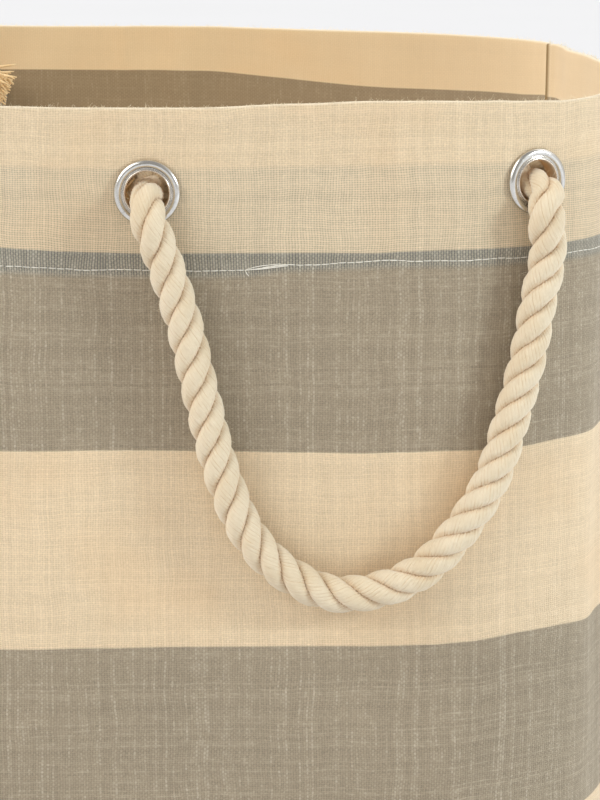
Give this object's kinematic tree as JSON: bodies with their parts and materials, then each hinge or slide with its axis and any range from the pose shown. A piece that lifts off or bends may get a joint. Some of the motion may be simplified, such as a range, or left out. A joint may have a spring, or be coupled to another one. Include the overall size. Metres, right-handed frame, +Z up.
{
  "type": "laundry bag",
  "caption": "Soft standing laundry bag of striped canvas with a turned-in hem and rope handles through metal eyelets, knotted inside.",
  "frame": {"origin": "centre of the bag's outline on the floor, at the underside of the base", "axes": "+Z up, -Y towards the front handle, +X to the right as seen from the front"},
  "size_m": [0.427, 0.3454, 0.5],
  "materials": {
    "canvas": "plain weave, beige and taupe stripes",
    "base_canvas": "plain weave",
    "tape": "woven tape",
    "nickel": "polished nickel plate",
    "rope": "twisted natural cotton"
  },
  "bodies": {
    "bag": {"front_panel": "canvas", "back_panel": "canvas", "base_panel": "base_canvas", "base_binding": "tape", "left_side_seam": "canvas", "right_side_seam": "canvas", "front_left_eyelet": "nickel", "front_right_eyelet": "nickel", "back_left_eyelet": "nickel", "back_right_eyelet": "nickel", "front_left_washer": "nickel", "front_right_washer": "nickel", "back_left_washer": "nickel", "back_right_washer": "nickel", "front_left_knot": "rope", "front_right_knot": "rope", "back_left_knot": "rope", "back_right_knot": "rope"},
    "front_handle": {"front_handle_rope": "rope"},
    "back_handle": {"back_handle_rope": "rope"}
  },
  "joints": [
    {"name": "front_handle_swing", "type": "hinge", "parent": "bag", "child": "front_handle", "pos_m": [0.04345, -0.16671, 0.47], "axis": [-0.9959, -0.0887, -0.0182], "range_deg": [0, 165]},
    {"name": "back_handle_swing", "type": "hinge", "parent": "bag", "child": "back_handle", "pos_m": [-0.04345, 0.16671, 0.47], "axis": [0.9959, 0.0887, -0.0182], "range_deg": [0, 165]}
  ]
}
